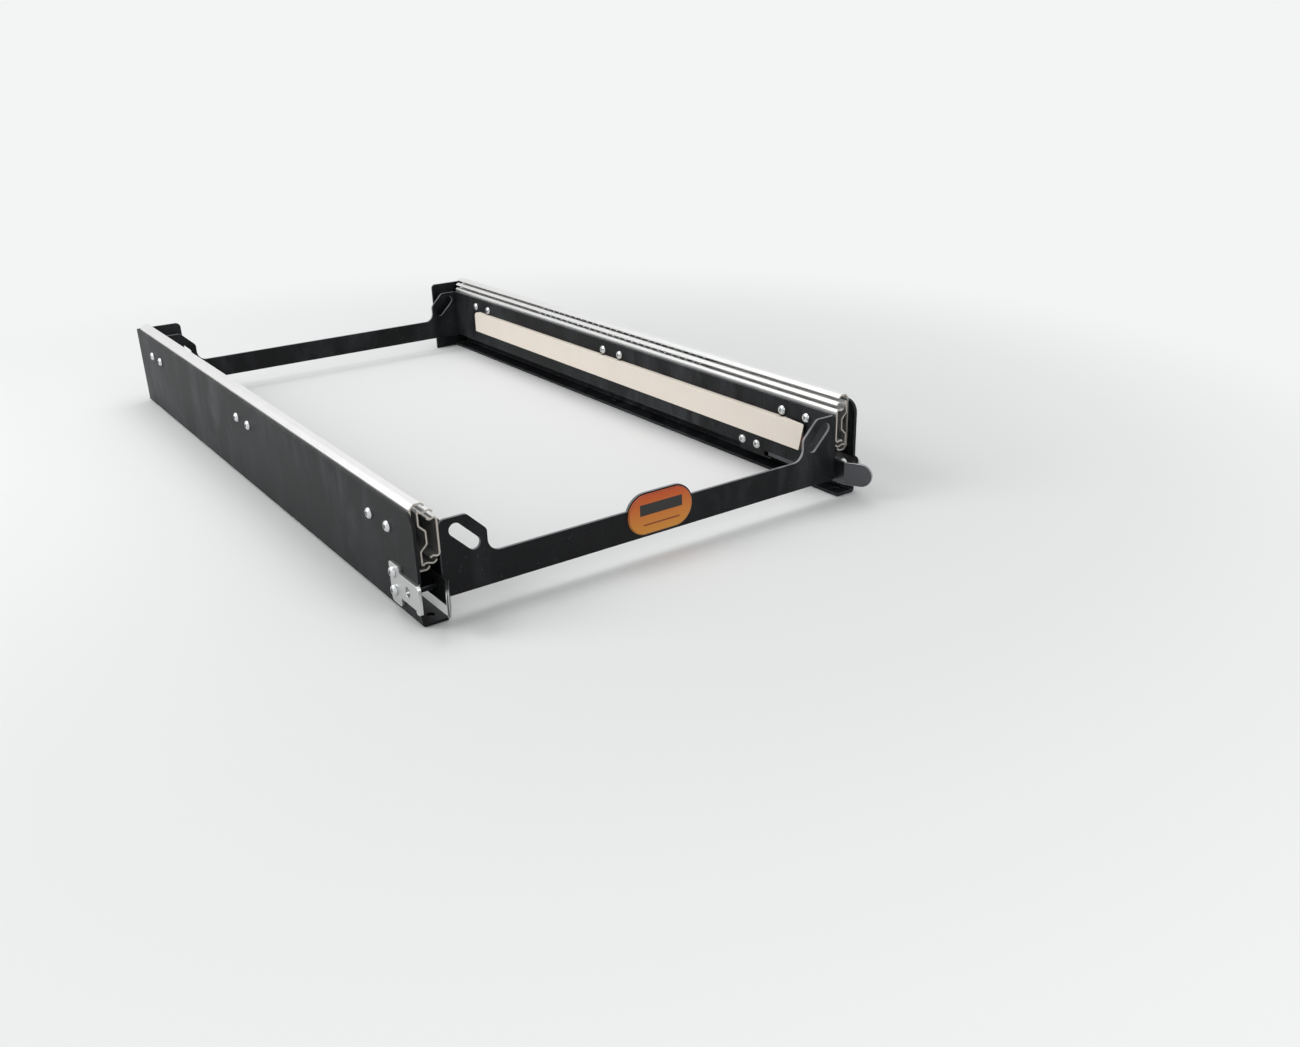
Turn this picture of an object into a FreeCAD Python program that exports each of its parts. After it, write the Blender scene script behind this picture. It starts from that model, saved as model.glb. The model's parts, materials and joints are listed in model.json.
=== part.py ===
"""Fridge slide: two folded rails, two three-section ball slides and an open tray frame.

Millimetres. +X is the right side seen from the front, the tray pulls out towards -Y and +Z is up.
The origin lies on the deck, midway between the rails.
Each sided piece is built on the right and mirrored for the left.
"""
import os

import FreeCAD
import Part
import Sketcher

V = FreeCAD.Vector

os.makedirs("parts", exist_ok=True)
doc = FreeCAD.newDocument("fridge_slide")
dim = doc.addObject("Spreadsheet::Sheet", "dim")

SIZES = {
    # Rails: folded sheet, screwed to the deck through their bottom flanges
    "half_width": 217,
    "rail_length": 760,
    "rail_height": 87,
    "rail_sheet": 2.5,
    "rail_corner": 11.5,
    "rail_bend": 3,
    "flange_width": 21,
    "tab_width": 50,
    "tab_corner": 5,
    "deck_hole": 3.3,
    "deck_hole_inset": 12,
    "deck_hole_end": 12,
    "notch_low": 12.2,
    "notch_high": 34.3,
    "notch_depth": 29,
    "notch_nose": 8,
    # Slides: three rolled sections and two rows of balls above and below their centre line
    "slide_height": 66,
    "slide_half": 26.5,
    "slide_depth": 19.1,
    "member_sheet": 1.5,
    "member_bend": 3.25,
    "middle_sheet": 1.3,
    "middle_bend": 0.75,
    "middle_waist": 10,
    "waist_half": 4.9,
    "race_gap": 0.15,
    "outer_ball": 2.35,
    "outer_row": 8.4,
    "inner_ball": 2.4,
    "inner_row": 13.4,
    "inner_row_height": 17.4,
    "outer_front_gap": 8.7,
    "outer_rear_gap": 10,
    "middle_front_gap": 6,
    "middle_rear_gap": 14,
    "inner_front_gap": 4,
    "inner_rear_gap": 16,
    # Ball cages: thin strip with a pocket round each ball
    "cage_sheet": 0.6,
    "cage_front_gap": 200,
    "cage_length": 331,
    "pocket_gap": 0.1,
    "outer_cage_web": 3.1,
    "outer_cage_slant": 2.1,
    "outer_cage_reach": 1.9,
    "inner_cage_reach": 2,
    "cage_shoulder": 8,
    "shoulder_height": 10.6,
    "inner_cage_web": 12.4,
    "cage_waist": 6.2,
    # Tray: four plates round an open middle
    "tray_sheet": 2.5,
    "tray_top": 77,
    "tray_middle": 42,
    "side_low": 19,
    "front_low": 16,
    "rear_low": 18,
    "tray_rear_gap": 18.2,
    "ear_width": 38.4,
    "ear_chamfer": 15.6,
    "ear_corner": 3,
    "ear_fillet": 10.5,
    "slot_width": 10.4,
    "slot_top_in": 13,
    "slot_top_up": 67,
    "slot_run": 14.3,
    # Badge on the front plate and the hump that carries it
    "badge_width": 64,
    "badge_radius": 17.3,
    "badge_height": 35.7,
    "badge_thick": 2,
    "badge_dome": 1.2,
    "hump_margin": 1.25,
    # Pale wear strips inside the side plates
    "strip_thick": 6,
    "strip_low": 35,
    "strip_high": 60.5,
    "strip_front_gap": 43.5,
    "strip_rear_gap": 83.3,
    "strip_corner": 6,
    "dip_radius": 6.5,
    # Button-head screws
    "screw_radius": 2.5,
    "screw_fit": 0.15,
    "head_radius": 4.75,
    "head_height": 2.75,
    "head_edge": 1.5,
    "socket_flats": 3,
    "socket_depth": 1.6,
    "screw_pitch": 33,
    "rail_pair_rear_gap": 79,
    "rail_pair_middle": -4,
    "rail_pair_front_gap": 61,
    "tray_pair_rear_gap": 95,
    "tray_pair_middle": -20,
    "tray_pair_front_gap": 56.5,
    "tip_beyond": 0.4,
    "tray_tip_beyond": 1,
    # Keeper plate on the outside of each rail
    "keeper_thick": 3,
    "keeper_overhang": 4.5,
    "keeper_step_back": 27,
    "keeper_rear_back": 44,
    "keeper_low": 14.4,
    "keeper_high": 34.8,
    "keeper_foot": 7,
    "keeper_head": 40,
    "keeper_corner": 3,
    "keeper_nose": 4,
    "claw_low": 11.7,
    "claw_width": 6,
    "claw_corner": 1.5,
    "keeper_screw_back": 37,
    "keeper_screw_low": 17.8,
    "keeper_screw_high": 32.6,
    "keeper_hole": 4,
    "keeper_hole_back": 14,
    # Lock lever, its bracket and its pins
    "lock_height": 24.3,
    "lever_half": 10.7,
    "lever_sheet": 2,
    "lever_gap": 1.05,
    "lever_bend_ahead": 7,
    "tab_length": 25.6,
    "tab_flare": 27,
    "hinge_back": 95,
    "hinge_radius": 2,
    "hinge_fit": 0.05,
    "knuckle_height": 6,
    "bracket_sheet": 2,
    "bracket_gap": 0.3,
    "bracket_front_back": 101,
    "bracket_rear_back": 138,
    "ear_rear_back": 118,
    "ear_margin": 4,
    "rivet_radius": 3,
    "rivet_height": 1,
    "bracket_screw_front_back": 108.5,
    "bracket_screw_rear_back": 130,
    "bracket_screw_height": 23.5,
    "lock_pin_radius": 2.7,
    "lock_pin_back": 13.1,
    "lock_pin_tip_gap": 0.8,
    "lock_pin_point": 1,
    "collar_radius": 4.2,
    "collar_height": 1.5,
}

for row, (alias, number) in enumerate(SIZES.items(), 1):
    dim.set(f"A{row}", alias)
    dim.set(f"B{row}", str(number))
    dim.setAlias(f"B{row}", alias)
doc.recompute()

# Places that several pieces share, as expressions over the sheet
RAIL_FACE = "(dim.half_width - dim.rail_sheet)"
TRAY_FACE = "(dim.half_width - dim.rail_sheet - dim.slide_depth)"
SIDE_FACE = f"({TRAY_FACE} - dim.tray_sheet)"
REAR = "(dim.rail_length / 2)"
FRONT = "(-dim.rail_length / 2)"
TRAY_FRONT = f"({FRONT} + dim.inner_front_gap)"
TRAY_REAR = f"({REAR} - dim.tray_rear_gap)"
SCREW_HOLE = "dim.screw_radius + dim.screw_fit"
RAIL_PAIRS = [
    f"{REAR} - dim.rail_pair_rear_gap",
    "dim.rail_pair_middle",
    f"{FRONT} + dim.rail_pair_front_gap",
]
TRAY_PAIRS = [
    f"{REAR} - dim.tray_pair_rear_gap",
    "dim.tray_pair_middle",
    f"{FRONT} + dim.tray_pair_front_gap",
]
BRACKET_SCREWS = [
    f"{FRONT} + dim.bracket_screw_rear_back",
    f"{FRONT} + dim.bracket_screw_front_back",
]
KEEPER_SCREWS = ["dim.keeper_screw_low", "dim.keeper_screw_high"]

nodes = []


def value(expression):
    """Work out an expression over the sheet's sizes."""
    return float(dim.evalExpression(expression))


def both_of(pairs):
    """Give the place of each screw of the pairs along the slide."""
    return [f"{middle} + dim.screw_pitch / 2 * {end}" for middle in pairs for end in (1, -1)]


def draw(sketch, corners, closed=True):
    """Draw a chain of edges whose corners the sheet places.

    A corner is (across, up), or (across, up, radius, turn) where an arc leads to it.
    The turn is 1 where the arc bends left on its way and -1 where it bends right.
    """
    points = [V(value(corner[0]), value(corner[1]), 0) for corner in corners]
    first = sketch.GeometryCount
    edges = []
    arrivals = list(range(len(corners)))[0 if closed else 1:]
    for i in arrivals:
        start = points[i - 1]
        end = points[i]
        if len(corners[i]) == 2:
            edges.append((Part.LineSegment(start, end), 1, 2))
            continue
        radius = value(corners[i][2])
        turn = corners[i][3]
        chord = end - start
        rise = max(radius ** 2 - chord.Length ** 2 / 4, 0) ** 0.5
        centre = (start + end) / 2 + V(-chord.y, chord.x, 0).normalize() * rise * turn
        low, high = (start, end) if turn > 0 else (end, start)
        begins = V(1, 0, 0).getAngle(low - centre) * (1 if low.y >= centre.y else -1)
        stops = V(1, 0, 0).getAngle(high - centre) * (1 if high.y >= centre.y else -1)
        circle = Part.Circle(centre, V(0, 0, 1), radius)
        arc = Part.ArcOfCircle(circle, begins, stops)
        edges.append((arc, 1, 2) if turn > 0 else (arc, 2, 1))
    sketch.addGeometry([edge for edge, tail, head in edges])

    rules = []
    bindings = []
    for order, i in enumerate(arrivals):
        edge = first + order
        tail, head = edges[order][1:]
        bindings.append((len(rules), corners[i][0]))
        rules.append(Sketcher.Constraint("DistanceX", -1, 1, edge, head, points[i].x))
        bindings.append((len(rules), corners[i][1]))
        rules.append(Sketcher.Constraint("DistanceY", -1, 1, edge, head, points[i].y))
        if len(corners[i]) == 4:
            bindings.append((len(rules), corners[i][2]))
            rules.append(Sketcher.Constraint("Radius", edge, value(corners[i][2])))
        if order or closed:
            before = order - 1 if order else len(arrivals) - 1
            rules.append(
                Sketcher.Constraint("Coincident", first + before, edges[before][2], edge, tail)
            )
        else:
            bindings.append((len(rules), corners[0][0]))
            rules.append(Sketcher.Constraint("DistanceX", -1, 1, edge, tail, points[0].x))
            bindings.append((len(rules), corners[0][1]))
            rules.append(Sketcher.Constraint("DistanceY", -1, 1, edge, tail, points[0].y))
    offset = sketch.ConstraintCount
    sketch.addConstraint(rules)
    for rule, expression in bindings:
        sketch.setExpression(f"Constraints[{offset + rule}]", expression)


def circle(sketch, across, up, radius):
    """Draw a full circle whose centre and radius the sheet sets."""
    centre = V(value(across), value(up), 0)
    edge = sketch.addGeometry(Part.Circle(centre, V(0, 0, 1), value(radius)))
    offset = sketch.ConstraintCount
    sketch.addConstraint([
        Sketcher.Constraint("DistanceX", -1, 1, edge, 3, centre.x),
        Sketcher.Constraint("DistanceY", -1, 1, edge, 3, centre.y),
        Sketcher.Constraint("Radius", edge, value(radius)),
    ])
    for rule, expression in enumerate([across, up, radius]):
        sketch.setExpression(f"Constraints[{offset + rule}]", expression)


def new_body(label):
    body = doc.addObject("PartDesign::Body", label)
    body.Label = label
    return body


def sketch_on(body, role, offset):
    """Attach a sketch to one of the body's own planes, moved along the plane's normal."""
    sketch = body.newObject("Sketcher::SketchObject", f"{body.Label}_sketch")
    plane = next(part for part in body.Origin.OriginFeatures if part.Role == role)
    sketch.AttachmentSupport = [(plane, "")]
    sketch.MapMode = "FlatFace"
    sketch.setExpression("AttachmentOffset.Base.z", offset)
    return sketch


def pad(body, sketch, thickness, reverse=False):
    feature = body.newObject("PartDesign::Pad", f"{body.Label}_pad")
    feature.Profile = sketch
    feature.Reversed = reverse
    feature.setExpression("Length", thickness)
    doc.recompute()
    return feature


def straight_edges(shape, direction, across, up):
    """Name the shape's edges that run along a direction through a place in the plane across it."""
    flat = [i for i in range(3) if abs(direction[i]) < 0.5]
    found = []
    for number, edge in enumerate(shape.Edges, 1):
        run = edge.Vertexes[-1].Point - edge.Vertexes[0].Point
        if run.Length < 0.01 or abs(abs(run.normalize().dot(direction)) - 1) > 1e-6:
            continue
        point = edge.Vertexes[0].Point
        if abs(point[flat[0]] - across) < 0.01 and abs(point[flat[1]] - up) < 0.01:
            found.append(f"Edge{number}")
    return found


def round_edges(body, edges, radius):
    base = body.Tip
    feature = body.newObject("PartDesign::Fillet", f"{body.Label}_fillet")
    feature.Base = (base, edges)
    feature.setExpression("Radius", radius)
    doc.recompute()
    return feature


def computed(name, shape):
    """Hold a shape that Part's own functions make from the sheet's sizes."""
    holder = doc.addObject("Part::Feature", name)
    holder.Shape = shape
    return holder


def subtract(name, base, tool):
    cut = doc.addObject("Part::Cut", name)
    cut.Base = base
    cut.Tool = tool
    return cut


def sided(label, piece):
    """File a piece of the right side and its mirror image on the left."""
    piece.Label = f"{label}_right"
    mirror = doc.addObject("Part::Mirroring", f"{label}_left")
    mirror.Label = f"{label}_left"
    mirror.Source = piece
    mirror.Base = V(0, 0, 0)
    mirror.Normal = V(1, 0, 0)
    nodes.extend([piece, mirror])


def single(label, piece):
    piece.Label = label
    nodes.append(piece)


# Rail: one folded sheet with a plate, a bottom flange and a tab across its rear end
rail = new_body("rail_right")
plate = sketch_on(rail, "YZ_Plane", RAIL_FACE)
draw(plate, [
    (REAR, "0"),
    (REAR, "dim.rail_height"),
    (f"{FRONT} + dim.rail_corner", "dim.rail_height"),
    (FRONT, "dim.rail_height - dim.rail_corner", "dim.rail_corner", 1),
    (FRONT, "dim.notch_high"),
    (f"{FRONT} + dim.notch_depth", "dim.notch_high"),
    (f"{FRONT} + dim.notch_depth", "dim.notch_low"),
    (f"{FRONT} + dim.notch_nose", "dim.notch_low"),
    (FRONT, "dim.notch_low - dim.notch_nose", "dim.notch_nose", 1),
    (FRONT, "0"),
])
for along in both_of(RAIL_PAIRS):
    circle(plate, along, "dim.slide_height", SCREW_HOLE)
for up in KEEPER_SCREWS:
    circle(plate, f"{FRONT} + dim.keeper_screw_back", up, SCREW_HOLE)
pad(rail, plate, "dim.rail_sheet")
flange = sketch_on(rail, "XY_Plane", "0")
draw(flange, [
    ("dim.half_width - dim.flange_width", FRONT),
    ("dim.half_width", FRONT),
    ("dim.half_width", REAR),
    ("dim.half_width - dim.flange_width", REAR),
])
DECK_HOLE_END = f"({REAR} - dim.deck_hole_end)"
for along in (f"-{DECK_HOLE_END}", "0", DECK_HOLE_END):
    circle(flange, "dim.half_width - dim.deck_hole_inset", along, "dim.deck_hole")
pad(rail, flange, "dim.rail_sheet")
tab = sketch_on(rail, "XZ_Plane", FRONT)
draw(tab, [
    ("dim.half_width - dim.tab_width", "0"),
    ("dim.half_width", "0"),
    ("dim.half_width", "dim.rail_height"),
    ("dim.half_width - dim.tab_width + dim.tab_corner", "dim.rail_height"),
    ("dim.half_width - dim.tab_width", "dim.rail_height - dim.tab_corner", "dim.tab_corner", 1),
])
pad(rail, tab, "dim.rail_sheet")
bends = straight_edges(rail.Shape, V(0, 1, 0), value("dim.half_width"), 0)
bends += straight_edges(rail.Shape, V(0, 0, 1), value("dim.half_width"), value(REAR))
round_edges(rail, bends, "dim.rail_bend")
sided("rail", rail)

# Slide sections, drawn inwards from the rail's plate and upwards from the slide's centre line
OUTER_Z = "(dim.slide_half - dim.member_sheet - dim.race_gap - dim.outer_ball)"
OUTER_RACE = "(dim.outer_ball + dim.race_gap + dim.member_sheet / 2)"
MIDDLE_OUTER = "(dim.outer_ball + dim.race_gap + dim.middle_sheet / 2)"
MIDDLE_INNER = "(dim.inner_ball + dim.race_gap + dim.middle_sheet / 2)"
INNER_RACE = "(dim.inner_ball + dim.race_gap + dim.member_sheet / 2)"
OUTER_FLANGE = f"({OUTER_Z} + {OUTER_RACE})"
MIDDLE_WEB = f"(dim.outer_row - {MIDDLE_OUTER} * cos(45) - dim.middle_bend * (1 + cos(45)))"
MIDDLE_SHOULDER = f"(dim.waist_half + dim.middle_waist - {MIDDLE_WEB})"
INNER_BEND = (
    f"((dim.slide_depth - dim.member_sheet / 2 - dim.inner_row - {INNER_RACE} * cos(60)) / 1.5)"
)


def about(row, height, radius, angle):
    """Give the place at an angle on a circle about a row of balls."""
    return f"{row} + {radius} * cos({angle})", f"{height} + {radius} * sin({angle})"


def outer_ball_at(radius, angle):
    return about("dim.outer_row", OUTER_Z, radius, angle)


def inner_ball_at(radius, angle):
    return about("dim.inner_row", "dim.inner_row_height", radius, angle)


OUTER_HALF = [
    outer_ball_at(OUTER_RACE, 25),
    outer_ball_at(OUTER_RACE, 90) + (OUTER_RACE, 1),
    ("dim.member_sheet / 2 + dim.member_bend", OUTER_FLANGE),
    ("dim.member_sheet / 2", f"{OUTER_FLANGE} - dim.member_bend"),
]
MIDDLE_HALF = [
    inner_ball_at(MIDDLE_INNER, 25),
    inner_ball_at(MIDDLE_INNER, 105) + (MIDDLE_INNER, 1),
    outer_ball_at(MIDDLE_OUTER, -75),
    outer_ball_at(MIDDLE_OUTER, -135) + (MIDDLE_OUTER, -1),
    (
        MIDDLE_WEB,
        f"{OUTER_Z} - ({MIDDLE_OUTER} + dim.middle_bend) * sin(45)",
        "dim.middle_bend",
        1,
    ),
    (MIDDLE_WEB, MIDDLE_SHOULDER),
    ("dim.middle_waist", "dim.waist_half"),
]
INNER_HALF = [
    inner_ball_at(INNER_RACE, -130),
    inner_ball_at(INNER_RACE, -60) + (INNER_RACE, 1),
    (
        "dim.slide_depth - dim.member_sheet / 2",
        f"dim.inner_row_height - ({INNER_RACE} + {INNER_BEND}) * sin(60)",
        INNER_BEND,
        -1,
    ),
]
OUTER_CAGE_HALF = [
    ("dim.outer_row + dim.outer_cage_reach", OUTER_Z),
    ("dim.outer_cage_web + dim.outer_cage_slant", OUTER_Z),
    ("dim.outer_cage_web", f"{OUTER_Z} - dim.outer_cage_slant"),
]
INNER_CAGE_HALF = [
    ("dim.inner_row + dim.inner_cage_reach", "dim.inner_row_height"),
    ("dim.cage_shoulder", "dim.inner_row_height"),
    ("dim.cage_shoulder", "dim.shoulder_height"),
    ("dim.inner_cage_web", "dim.cage_waist"),
]


# Where each section starts, and how long it runs
RUNS = {
    name: (
        f"{FRONT} + dim.{name}_front_gap",
        f"dim.rail_length - dim.{name}_front_gap - dim.{name}_rear_gap",
    )
    for name in ("outer", "middle", "inner")
}
RUNS["cage"] = (f"{FRONT} + dim.cage_front_gap", "dim.cage_length")


def rolled(name, half, sheet, run):
    """Roll a section that is alike above and below the centre line, and run it along the slide."""
    front, length = RUNS[run]
    upper = [(f"{RAIL_FACE} - ({c[0]})", f"dim.slide_height + ({c[1]})") for c in half]
    lower = [(f"{RAIL_FACE} - ({c[0]})", f"dim.slide_height - ({c[1]})") for c in half]
    corners = upper[:1]
    for i in range(1, len(half)):
        arc = (half[i][2], -half[i][3]) if len(half[i]) == 4 else ()
        corners.append(upper[i] + arc)
    corners.append(lower[-1])
    for i in range(len(half) - 1, 0, -1):
        arc = (half[i][2], -half[i][3]) if len(half[i]) == 4 else ()
        corners.append(lower[i - 1] + arc)
    sketch = doc.addObject("Sketcher::SketchObject", f"{name}_line")
    sketch.Placement = FreeCAD.Placement(V(0, 0, 0), FreeCAD.Rotation(V(1, 0, 0), 90))
    sketch.setExpression("Placement.Base.y", front)
    draw(sketch, corners, closed=False)
    skin = doc.addObject("Part::Offset2D", f"{name}_sheet")
    skin.Source = sketch
    skin.Mode = "Pipe"
    skin.Join = "Arc"
    skin.setExpression("Value", f"{sheet} / 2")
    member = doc.addObject("Part::Extrusion", f"{name}_run")
    member.Base = skin
    member.DirMode = "Custom"
    member.Dir = V(0, 1, 0)
    member.Solid = True
    member.setExpression("LengthFwd", length)
    doc.recompute()
    return member


def drills(name, places, up, start, depth):
    """Make the drills for a row of screw holes through a web."""
    tools = []
    for along in places:
        low = V(value(start), value(along), value(up))
        tools.append(Part.makeCylinder(value(SCREW_HOLE), value(depth), low, V(1, 0, 0)))
    return computed(name, Part.makeCompound(tools))


outer = rolled("outer_member", OUTER_HALF, "dim.member_sheet", "outer")
outer_drills = drills(
    "outer_drills", both_of(RAIL_PAIRS), "dim.slide_height",
    f"{RAIL_FACE} - dim.member_sheet - 1", "dim.member_sheet + 2",
)
sided("outer_member", subtract("outer_member_right", outer, outer_drills))
middle = rolled("middle_member", MIDDLE_HALF, "dim.middle_sheet", "middle")
sided("middle_member", middle)
inner = rolled("inner_member", INNER_HALF, "dim.member_sheet", "inner")
inner_drills = drills(
    "inner_drills", both_of(TRAY_PAIRS), "dim.slide_height",
    f"{TRAY_FACE} - 1", "dim.member_sheet + 2",
)
sided("inner_member", subtract("inner_member_right", inner, inner_drills))

# Balls and the cages that space them: flat facets keep the many balls light
BALLS_IN_ROW = 8


def ball_rows(row, height, radius, add):
    """Make what add gives for each ball of the upper and lower row of one cage."""
    pieces = []
    pitch = value("dim.cage_length") / BALLS_IN_ROW
    for side in (1, -1):
        for i in range(BALLS_IN_ROW):
            across = value(f"{RAIL_FACE} - {row}")
            along = value(f"{FRONT} + dim.cage_front_gap") + pitch * (i + 0.5)
            up = value(f"dim.slide_height + {side} * {height}")
            pieces.append(add(V(across, along, up), value(radius)))
    return Part.makeCompound(pieces)


def octagon_prism(centre, flats, length, axis):
    """Make a prism with eight sides, centred on a place, from the distance across its flats."""
    turn = FreeCAD.Rotation(V(0, 0, 1), 45)
    corner = V(flats / 2, flats / 2 * (2 ** 0.5 - 1), -length / 2)
    points = [corner]
    for side in range(8):
        points.append(turn.multVec(points[-1]))
    prism = Part.Face(Part.makePolygon(points)).extrude(V(0, 0, length))
    prism.Placement = FreeCAD.Placement(centre, FreeCAD.Rotation(V(0, 0, 1), axis))
    return prism


def ball(centre, radius):
    """Cut a ball's facets with three prisms; its outermost corners lie on the round ball."""
    flats = 2 * radius / (1 + 2 * (2 ** 0.5 - 1) ** 2) ** 0.5
    faceted = octagon_prism(centre, flats, flats, V(0, 0, 1))
    for axis in (V(1, 0, 0), V(0, 1, 0)):
        faceted = faceted.common(octagon_prism(centre, flats, flats, axis))
    return faceted


def pocket(centre, radius):
    flats = 2 * (radius + value("dim.pocket_gap"))
    return octagon_prism(centre, flats, flats, V(0, 0, 1))


def cage(name, half, row, height, radius):
    strip = rolled(f"{name}_cage", half, "dim.cage_sheet", "cage")
    pockets = computed(f"{name}_pockets", ball_rows(row, height, radius, pocket))
    sided(f"{name}_cage", subtract(f"{name}_cage_right", strip, pockets))
    balls = computed(f"{name}_balls_right", ball_rows(row, height, radius, ball))
    sided(f"{name}_balls", balls)


cage("outer", OUTER_CAGE_HALF, "dim.outer_row", OUTER_Z, "dim.outer_ball")
cage("inner", INNER_CAGE_HALF, "dim.inner_row", "dim.inner_row_height", "dim.inner_ball")

# Tray side plate: flat, between the front and rear plates
side = new_body("tray_side_right")
outline = sketch_on(side, "YZ_Plane", SIDE_FACE)
draw(outline, [
    (f"{TRAY_FRONT} + dim.tray_sheet", "dim.side_low"),
    (TRAY_REAR, "dim.side_low"),
    (TRAY_REAR, "dim.tray_top"),
    (f"{TRAY_FRONT} + dim.tray_sheet", "dim.tray_top"),
])
for along in both_of(TRAY_PAIRS):
    circle(outline, along, "dim.slide_height", SCREW_HOLE)
for along in BRACKET_SCREWS:
    circle(outline, along, "dim.bracket_screw_height", SCREW_HOLE)
pad(side, outline, "dim.tray_sheet")
sided("tray_side", side)


# Tray end plates: raised ears with a slanted strap slot, and a low middle
EAR_INNER = f"({TRAY_FACE} - dim.ear_width)"


def right_ear():
    """List the outline's corners from the bottom right to the foot of the right ear."""
    return [
        (TRAY_FACE, "dim.tray_top - dim.ear_corner"),
        (f"{TRAY_FACE} - dim.ear_corner", "dim.tray_top"),
        (f"{EAR_INNER} + dim.ear_chamfer", "dim.tray_top"),
        (EAR_INNER, "dim.tray_top - dim.ear_chamfer"),
        (EAR_INNER, "dim.tray_middle + dim.ear_fillet"),
        (f"{EAR_INNER} - dim.ear_fillet", "dim.tray_middle", "dim.ear_fillet", -1),
    ]


def opposite(corners):
    """Mirror corners to the left side and list them the other way round."""
    flipped = []
    for i in range(len(corners) - 1, -1, -1):
        arc = corners[i + 1][2:] if i + 1 < len(corners) else ()
        flipped.append((f"-({corners[i][0]})", corners[i][1]) + arc)
    return flipped


def strap_slot(side):
    """List the corners of the slanted slot in one ear."""
    reach = "dim.slot_width / 2 * cos(45)"
    ends = []
    for run, tips in (("0", ((-1, 1), (1, 1), (1, -1))), ("dim.slot_run", ((1, -1), (-1, -1), (-1, 1)))):
        for order, (right, up) in enumerate(tips):
            place = (
                f"{side} * ({TRAY_FACE} - dim.slot_top_in - {run} + {right} * {reach})",
                f"dim.slot_top_up - {run} + {up} * {reach}",
            )
            ends.append(place + (("dim.slot_width / 2", -side) if order else ()))
    return ends


def end_plate(label, low, face, hump):
    plate = new_body(label)
    outline = sketch_on(plate, "XZ_Plane", face)
    half = right_ear() + hump
    draw(outline, [(f"-{TRAY_FACE}", low), (TRAY_FACE, low)] + half + opposite(half))
    for side in (1, -1):
        draw(outline, strap_slot(side))
    pad(plate, outline, "dim.tray_sheet", reverse=True)
    single(label, plate)


HUMP_RADIUS = "(dim.badge_radius + dim.hump_margin)"
HUMP_CENTRE = "(dim.badge_width / 2 - dim.badge_radius)"
HUMP_DROP = "(dim.tray_middle - dim.badge_height)"
BADGE_HUMP = [
    (f"{HUMP_CENTRE} + sqrt({HUMP_RADIUS} ^ 2 - {HUMP_DROP} ^ 2)", "dim.tray_middle"),
    (HUMP_CENTRE, f"dim.badge_height + {HUMP_RADIUS}", HUMP_RADIUS, 1),
]
end_plate("tray_front", "dim.front_low", f"-{TRAY_FRONT}", BADGE_HUMP)
end_plate("tray_rear", "dim.rear_low", f"-{TRAY_REAR}", [])

# Badge: a plain domed stadium
badge = new_body("badge")
stadium = sketch_on(badge, "XZ_Plane", f"-{TRAY_FRONT}")
draw(stadium, [
    (HUMP_CENTRE, "dim.badge_height - dim.badge_radius"),
    (f"{HUMP_CENTRE} + dim.badge_radius", "dim.badge_height", "dim.badge_radius", 1),
    (HUMP_CENTRE, "dim.badge_height + dim.badge_radius", "dim.badge_radius", 1),
    (f"-{HUMP_CENTRE}", "dim.badge_height + dim.badge_radius"),
    (f"-{HUMP_CENTRE} - dim.badge_radius", "dim.badge_height", "dim.badge_radius", 1),
    (f"-{HUMP_CENTRE}", "dim.badge_height - dim.badge_radius", "dim.badge_radius", 1),
])
dome = pad(badge, stadium, "dim.badge_thick")
badge_front = value(f"{TRAY_FRONT} - dim.badge_thick")
rim = [
    f"Edge{number}"
    for number, edge in enumerate(badge.Shape.Edges, 1)
    if abs(edge.BoundBox.YMin - badge_front) < 0.01 and abs(edge.BoundBox.YMax - badge_front) < 0.01
]
bevel = badge.newObject("PartDesign::Chamfer", "badge_chamfer")
bevel.Base = (dome, rim)
bevel.setExpression("Size", "dim.badge_dome")
single("badge", badge)

# Wear strip inside each side plate, dipped below the screw heads
DIP_REACH = "sqrt(dim.dip_radius ^ 2 - (dim.slide_height - dim.strip_high) ^ 2)"
STRIP_PLACES = {"right": f"{SIDE_FACE} - dim.strip_thick", "left": f"-{SIDE_FACE}"}
for side_name, strip_place in STRIP_PLACES.items():
    strip = new_body(f"wear_strip_{side_name}")
    profile = sketch_on(strip, "YZ_Plane", strip_place)
    corners = [
        (f"{FRONT} + dim.strip_front_gap", "dim.strip_low"),
        (f"{REAR} - dim.strip_rear_gap", "dim.strip_low"),
        (f"{REAR} - dim.strip_rear_gap", "dim.strip_high - dim.strip_corner"),
        (f"{REAR} - dim.strip_rear_gap - dim.strip_corner", "dim.strip_high", "dim.strip_corner", 1),
    ]
    for along in both_of(TRAY_PAIRS):
        corners.append((f"{along} + {DIP_REACH}", "dim.strip_high"))
        corners.append((f"{along} - {DIP_REACH}", "dim.strip_high", "dim.dip_radius", -1))
    corners.append((f"{FRONT} + dim.strip_front_gap", "dim.strip_high"))
    draw(profile, corners)
    pad(strip, profile, "dim.strip_thick")
    single(f"wear_strip_{side_name}", strip)


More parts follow.
